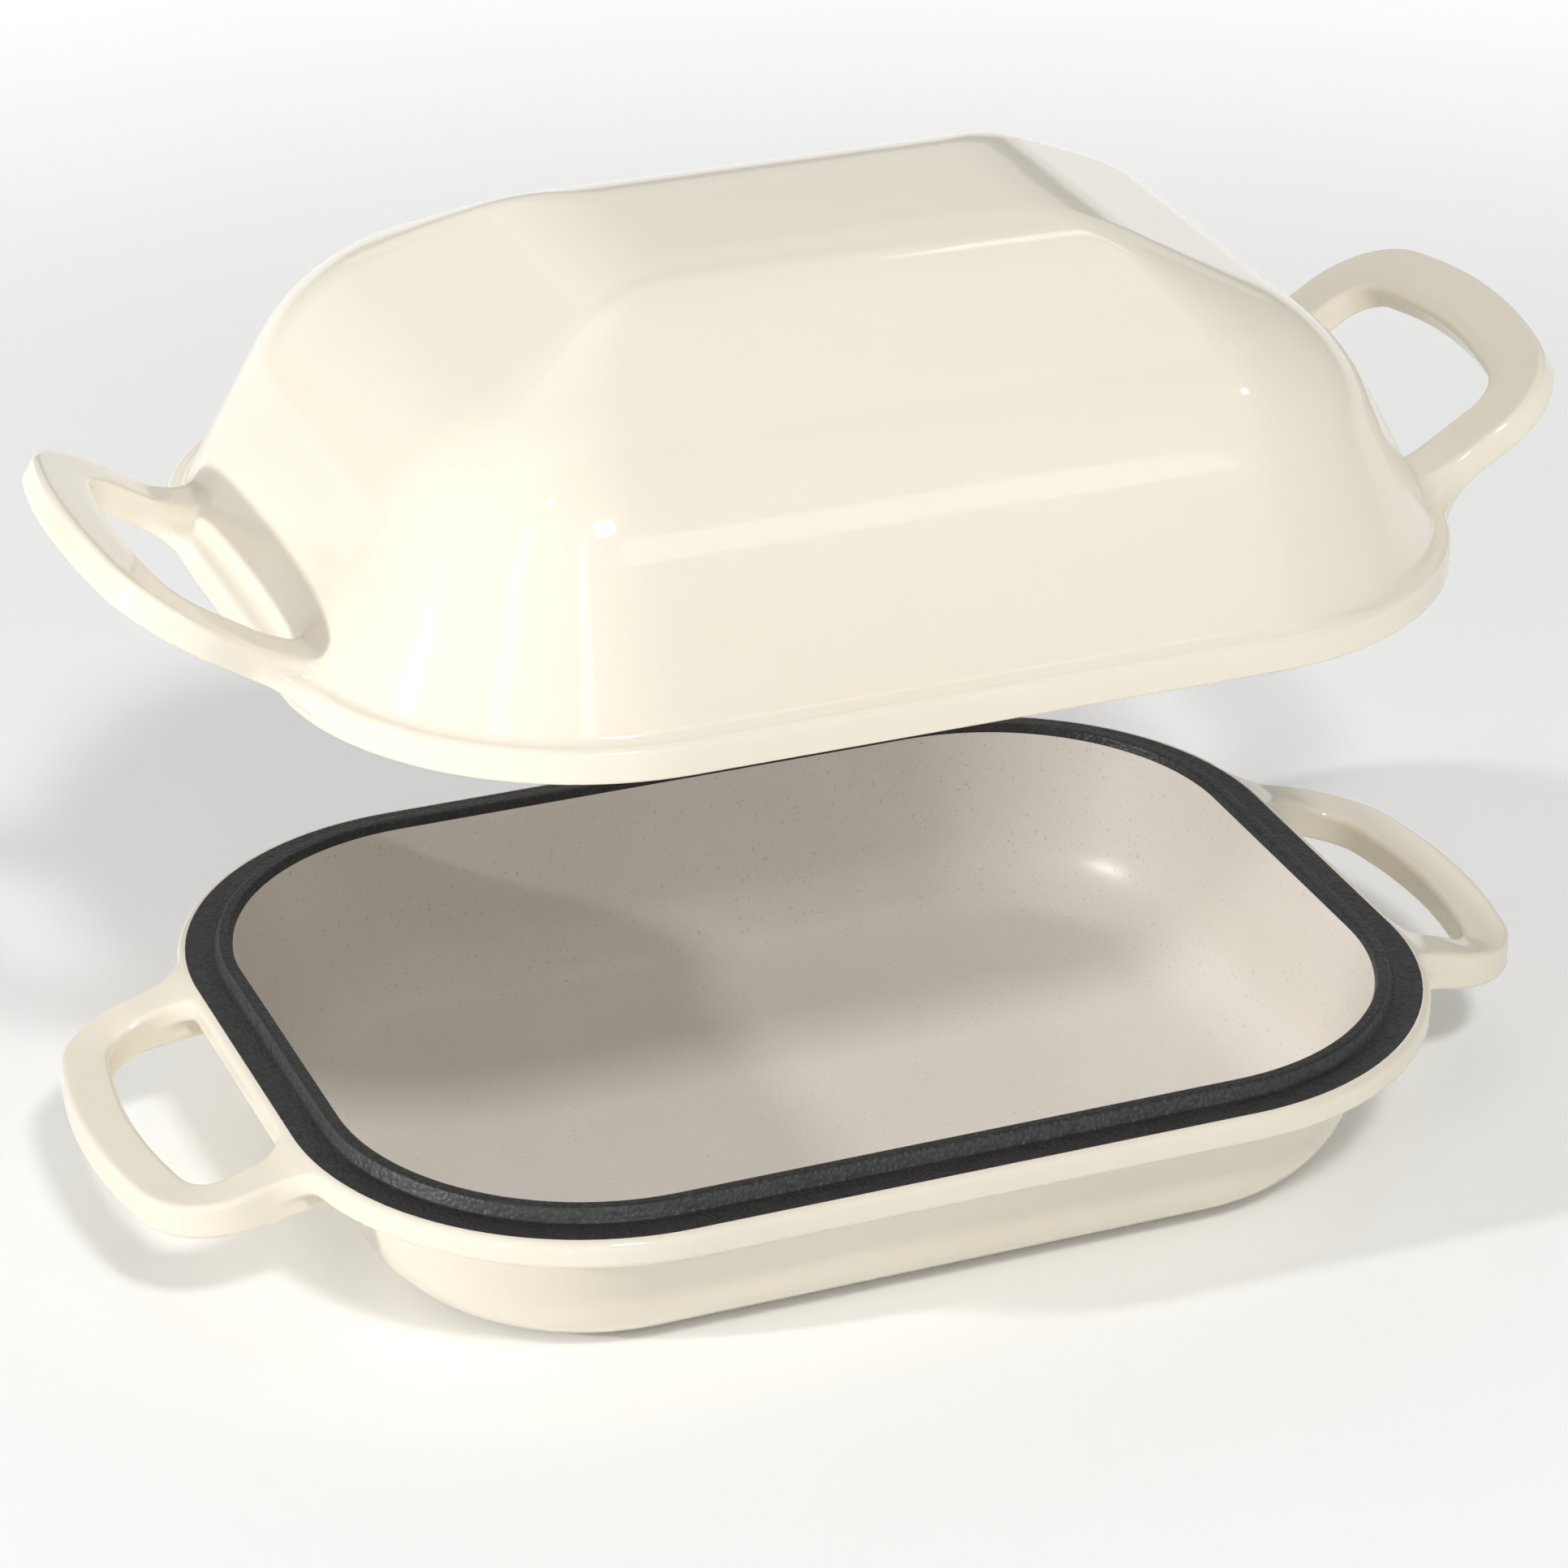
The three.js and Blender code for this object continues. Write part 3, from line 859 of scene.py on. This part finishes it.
class OVEN_OT_pan(bpy.types.Operator):
    """Make the enamelled base pan with its two level handles"""

    bl_idname = "oven.make_pan"
    bl_label = "Make the base pan"

    def execute(self, context):
        scene = context.scene
        rim, pan, handle = scene.oven_rim, scene.oven_pan, scene.oven_handle
        profile, spans = pan_profile(rim, pan)
        columns = quarter_columns(rim, handle, pan, rim.corner + pan.border)
        # All the pan's rows keep their distance from the rim: none lies a metre in.
        grid = swept_grid(profile, columns, {
            "Half length": rim.half_length, "Half width": rim.half_width, "Corner": rim.corner,
            "Clearance": 0.0, "Concentric width": 1.0, "End slope": 1.0, "Top inset": 0.0,
            "Top corner": 0.0, "Corner ease": 1.0, "Level": 0.0,
            "Finish": enamels(scene.oven_colours)["Cream"],
        })
        quarter = Quarter(grid, profile)
        arm_foot = rim.seat_height - pan.drop - pan.bar_thickness + pan.foot_rise
        foot_row = profile.nearest(spans[1][1], spans[2][0], arm_foot - PAN_MARGIN)
        rows = list(range(spans[4][1] - 1, foot_row - 1, -1))
        hole = Hole(quarter, rows, pan.wall_inset)
        quarter.shell(hole.cells)
        quarter.cap(0, CREAM)
        quarter.cap(quarter.rows - 1, INSIDE)
        origin = (rim.half_length + pan.border, 0.0, rim.seat_height - pan.drop)
        grow_handle(quarter, hole, handle, pan, origin, 0.0)
        piece = whole_casting("enamelled_pan", quarter, scene.oven_colours)
        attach(piece, "pan")
        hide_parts("base_pan")
        return {"FINISHED"}


def lid_profile(rim, lid):
    """The lid's rows, from its top down to the skirt's foot and up the inside."""
    skirt_wall = rim.seat_width - 2 * rim.clearance
    dome = [(lid.ledge, lid.skirt), (lid.shoulder_inset, lid.shoulder_height),
            (lid.top_inset, lid.height), (lid.flat_inset, lid.height)]
    outside, spans = rounded_line([
        dome[3],
        (*dome[2], lid.top_round, 12),
        (*dome[1], lid.shoulder_round, 14),
        (*dome[0], lid.ledge_fillet, 5),
        (0, lid.skirt, lid.skirt_round, 4),
        (0, 0, lid.foot_round, 3),
        (skirt_wall, 0),
    ], **OUTSIDE_ROWS)
    outside = outside[:spans[5][1] + 1]
    inner = drawn_in(dome, lid.wall)
    lean = (inner[1][0] - inner[0][0]) / (inner[1][1] - inner[0][1])
    foot, _ = rounded_line([
        tuple(outside[-1]),
        (skirt_wall, 0, lid.foot_round, 3),
        (skirt_wall, 2 * lid.foot_round),
    ], **RIM_ROWS)
    inside, _ = rounded_line([
        tuple(foot[-1]),
        (skirt_wall, inner[0][1] - (inner[0][0] - skirt_wall) / lean, lid.inner_fillet, 3),
        (*inner[1], lid.shoulder_round - lid.wall, 14),
        (*inner[2], lid.top_round - lid.wall, 12),
        inner[3],
    ], **INSIDE_ROWS)
    return Profile([(CREAM, outside), (RIM, foot), (INSIDE, inside)]), spans


def drawn_in(corners, distance):
    """Corners moved sideways, towards greater inset, so that each side stays parallel."""
    corners = np.array(corners)
    runs = corners[1:] - corners[:-1]
    normals = [np.array((run[1], -run[0])) / np.linalg.norm(run) for run in runs]
    moved = []
    for i, corner in enumerate(corners):
        before, after = normals[max(i - 1, 0)], normals[min(i, len(normals) - 1)]
        moved.append(tuple(corner + (before + after) * distance / (1 + before @ after)))
    return moved


class OVEN_OT_lid(bpy.types.Operator):
    """Make the enamelled domed lid with its two slanting handles"""

    bl_idname = "oven.make_lid"
    bl_label = "Make the domed lid"

    def execute(self, context):
        scene = context.scene
        rim, lid, handle = scene.oven_rim, scene.oven_lid, scene.oven_handle
        profile, spans = lid_profile(rim, lid)
        columns = quarter_columns(rim, handle, lid, rim.corner - rim.clearance)
        grid = swept_grid(profile, columns, {
            "Half length": rim.half_length, "Half width": rim.half_width, "Corner": rim.corner,
            "Clearance": rim.clearance, "Concentric width": rim.seat_width - 2 * rim.clearance,
            "End slope": lid.end_slope, "Top inset": lid.top_inset, "Top corner": lid.top_corner,
            "Corner ease": lid.corner_ease, "Level": lid.level,
            "Finish": enamels(scene.oven_colours)["Cream"],
        })
        quarter = Quarter(grid, profile)
        top_row = profile.nearest(spans[2][1], spans[3][0], lid.rise - LID_MARGIN)
        rows = list(range(top_row, spans[5][0] + 1))
        hole = Hole(quarter, rows, lid.ledge)
        quarter.shell(hole.cells)
        quarter.cap(0, CREAM)
        quarter.cap(quarter.rows - 1, INSIDE)
        origin = (rim.half_length - rim.clearance, 0.0, lid.level + lid.rise)
        grow_handle(quarter, hole, handle, lid, origin, lid.tilt)
        piece = whole_casting("enamelled_lid", quarter, scene.oven_colours)
        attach(piece, "lid")
        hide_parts("lid")
        return {"FINISHED"}


# Stage


FLOOR_HALF = 6.0

# The floor's painted glow under the object, and what each ring adds to that glow between two distances
# from it.
FLOOR_GLOW = 0.05
FLOOR_RINGS = ((0.42, 0.45, 1.2), (0.22, 1.2, 4.0))

# The light from around, at the horizon and from above it.
HORIZON_LIGHT, AIR_LIGHT = 0.90, 0.28
HORIZON_RISE = 0.08

CAMERA_PLACE = Vector((-0.4945, -1.1924, 0.7523))
CAMERA_AIM = Vector((0.0329, 0.0924, 0.0470))
CAMERA_ROLL = 0.0073
CAMERA_LENS = 130.77

# Each lamp's name, place, aim, size and power: a hard key from the left, soft fills and narrow panels
# that draw the bright lines on the gloss.
LAMPS = (
    ("key", (-2.9, -0.1, 0.98), (0.0, 0.0, 0.2), (0.12, 0.12), 46),
    ("front_fill", (-0.16, -1.80, 2.07), (0.0, 0.0, 0.2), (0.36, 0.26), 27),
    ("top_fill", (0.0, 0.8, 2.6), (0.0, 0.8, 0.0), (2.4, 2.0), 9),
    ("back_fill", (1.3, 3.2, 1.85), (0.0, 0.0, 0.25), (3.4, 2.0), 8),
    ("shoulder_line", (0.68, -2.20, 1.645), (0.68, 0.0, 1.645), (1.16, 0.63), 3.4),
    ("corner_line", (-0.74, -2.20, 1.52), (-0.74, 0.0, 1.52), (0.20, 1.46), 2.2),
    ("left_line", (-1.73, -1.35, 1.55), (0.0, 0.0, 0.2), (0.30, 1.20), 2.2),
    ("crown_line", (1.27, 1.03, 2.43), (0.0, 0.0, 0.25), (0.70, 0.13), 0.8),
    ("left_spark", (-0.95, -0.85, 2.35), (0.0, 0.0, 0.2), (0.10, 0.10), 0.8),
    ("right_spark", (1.35, -0.90, 2.15), (0.0, 0.0, 0.2), (0.10, 0.10), 0.5),
)


def studio_paint(colours):
    """The floor: a matt white sheet with a faint tooth that glows by itself, a painted light, more so
    away from the middle.
    """
    material, board, place = new_surface("studio_floor_paint")
    cloud = noise(board, place, scale=3)
    away = board.node("ShaderNodeVectorMath", {"operation": "LENGTH"}, {0: place}, "Value")
    glow = FLOOR_GLOW
    for gain, near, far in FLOOR_RINGS:
        glow = glow + board.between(away, near, far, "SMOOTHSTEP") * gain
    finish_surface(board, {
        "Base Color": board.blend(cloud, opaque(colours.floor), opaque(colours.floor, gain=0.985)),
        "Roughness": 0.85,
        "Normal": bump(board, noise(board, place, scale=700), distance=0.02 * MM),
        # Painted light: the floor glows though it is no lamp.
        "Emission Color": board.blend(glow, opaque((0.0, 0.0, 0.0)), opaque(colours.floor)),
        "Emission Strength": 1.0,
    })
    return material


def studio_air():
    """The light from all around: soft overhead, and white down at the horizon."""
    world = bpy.data.worlds.new("studio")
    world.use_nodes = True
    world.node_tree.nodes.clear()
    board = Board(world.node_tree)
    facing = board.node("ShaderNodeTexCoord", output="Generated")
    rise = board.node("ShaderNodeSeparateXYZ", None, {0: facing}, 2)
    above = board.between(rise, 0.0, HORIZON_RISE, "SMOOTHSTEP")
    shade = board.blend(above, opaque([HORIZON_LIGHT] * 3), opaque([AIR_LIGHT] * 3))
    sky = board.node("ShaderNodeBackground", None, {"Color": shade, "Strength": 1.0})
    board.node("ShaderNodeOutputWorld", None, {"Surface": sky})
    return world


def add_camera(scene):
    """A long lens in front, a little to the left and above."""
    camera = bpy.data.objects.new("camera", bpy.data.cameras.new("camera"))
    scene.collection.objects.link(camera)
    camera.data.lens = CAMERA_LENS
    camera.data.sensor_width = 36
    camera.data.clip_end = 100
    ahead = (CAMERA_AIM - CAMERA_PLACE).normalized()
    right = ahead.cross(Vector((0, 0, 1))).normalized()
    up = right.cross(ahead)
    tipped = right * math.cos(CAMERA_ROLL) + up * math.sin(CAMERA_ROLL)
    axes = Matrix((tipped, tipped.cross(ahead), -ahead)).transposed()
    camera.matrix_world = Matrix.Translation(CAMERA_PLACE) @ axes.to_4x4()
    scene.camera = camera


def add_panel(scene, name, place, aim, size, power):
    """A rectangular lamp that faces a point."""
    data = bpy.data.lights.new(name, "AREA")
    data.shape = "RECTANGLE"
    data.size, data.size_y = size
    data.energy = power
    lamp = bpy.data.objects.new(name, data)
    lamp.location = place
    lamp.rotation_mode = "QUATERNION"
    lamp.rotation_quaternion = (Vector(aim) - Vector(place)).to_track_quat("-Z", "Y")
    scene.collection.objects.link(lamp)


class OVEN_OT_stage(bpy.types.Operator):
    """Make the pale floor, the studio light and the camera"""

    bl_idname = "oven.make_stage"
    bl_label = "Make the stage"

    def execute(self, context):
        scene = context.scene
        ways = ((-1, -1, 0), (1, -1, 0), (1, 1, 0), (-1, 1, 0))
        floor = new_mesh("studio_floor", [Vector(way) * FLOOR_HALF for way in ways], [[0, 1, 2, 3]])
        floor.data.materials.append(studio_paint(scene.oven_colours))
        scene.world = studio_air()
        scene.view_settings.view_transform = "Standard"
        for lamp in LAMPS:
            add_panel(scene, *lamp)
        add_camera(scene)
        return {"FINISHED"}


class OVEN_PT_panel(bpy.types.Panel):
    """The sizes, the colours and the steps"""

    bl_label = "Baking oven"
    bl_idname = "OVEN_PT_panel"
    bl_space_type = "VIEW_3D"
    bl_region_type = "UI"
    bl_category = "Baking oven"

    def draw(self, context):
        for name in GROUPS:
            box = self.layout.box()
            group = getattr(context.scene, name)
            for key in group.__annotations__:
                box.prop(group, key)
        for operator in OPERATORS:
            self.layout.operator(operator.bl_idname)


GROUPS = {
    "oven_rim": RimSizes,
    "oven_pan": PanSizes,
    "oven_lid": LidSizes,
    "oven_handle": HandleSizes,
    "oven_colours": EnamelColours,
}
OPERATORS = (OVEN_OT_pan, OVEN_OT_lid, OVEN_OT_stage)
CLASSES = (*GROUPS.values(), *OPERATORS, OVEN_PT_panel)


def register():
    for entry in CLASSES:
        bpy.utils.register_class(entry)
    for name, group in GROUPS.items():
        setattr(bpy.types.Scene, name, bpy.props.PointerProperty(type=group))


def unregister():
    for name in GROUPS:
        delattr(bpy.types.Scene, name)
    for entry in reversed(CLASSES):
        bpy.utils.unregister_class(entry)


def main():
    """Make the pieces and the stage."""
    register()
    bpy.ops.oven.make_pan()
    bpy.ops.oven.make_lid()
    bpy.ops.oven.make_stage()


if __name__ == "__main__":
    main()
